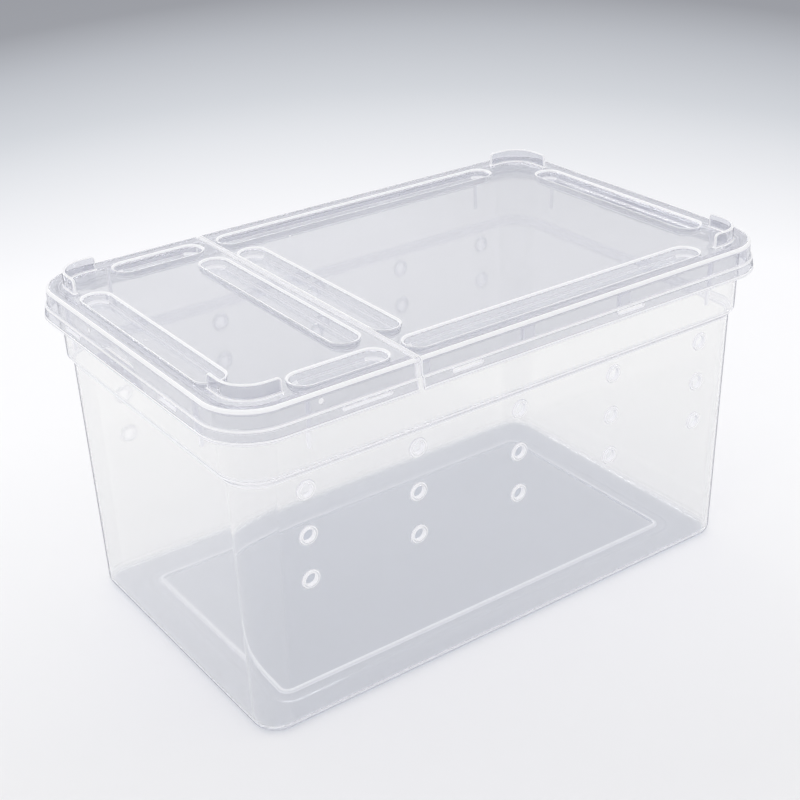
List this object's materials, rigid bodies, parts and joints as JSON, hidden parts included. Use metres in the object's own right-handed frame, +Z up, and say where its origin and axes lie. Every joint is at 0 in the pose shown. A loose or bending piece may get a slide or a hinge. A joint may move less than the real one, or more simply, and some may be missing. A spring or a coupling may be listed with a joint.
{
  "type": "plastic pet keeper",
  "caption": "Clear stackable plastic keeper box for small pets, with vent holes in the long walls and a lid that folds open in two unequal flaps.",
  "frame": {"origin": "centre of the footprint, on the table under the tub's base", "axes": "+Z up; X runs along the box's length with the small flap at the -X end; -Y is the long side that faces the viewer"},
  "size_m": [0.3248, 0.2038, 0.1835],
  "materials": {
    "clear_tub": "clear natural polypropylene, polished mould face with a faint blue-violet cast",
    "clear_lid": "clear natural polypropylene, polished mould face, slightly milkier than the tub"
  },
  "bodies": {
    "tub": {"tub": "clear_tub"},
    "hinge_web": {"hinge_web": "clear_lid"},
    "small_flap": {"small_flap": "clear_lid"},
    "large_flap": {"large_flap": "clear_lid"}
  },
  "joints": [
    {"name": "lid_lift", "type": "slide", "parent": "tub", "child": "hinge_web", "axis": [0, 0, 1], "range_m": [0, 0.06]},
    {"name": "small_flap_fold", "type": "hinge", "parent": "hinge_web", "child": "small_flap", "pos_m": [-0.0648, 0, 0.176], "axis": [0, 1, 0], "range_deg": [0, 85]},
    {"name": "large_flap_fold", "type": "hinge", "parent": "hinge_web", "child": "large_flap", "pos_m": [-0.0648, 0, 0.176], "axis": [0, -1, 0], "range_deg": [0, 85]}
  ]
}
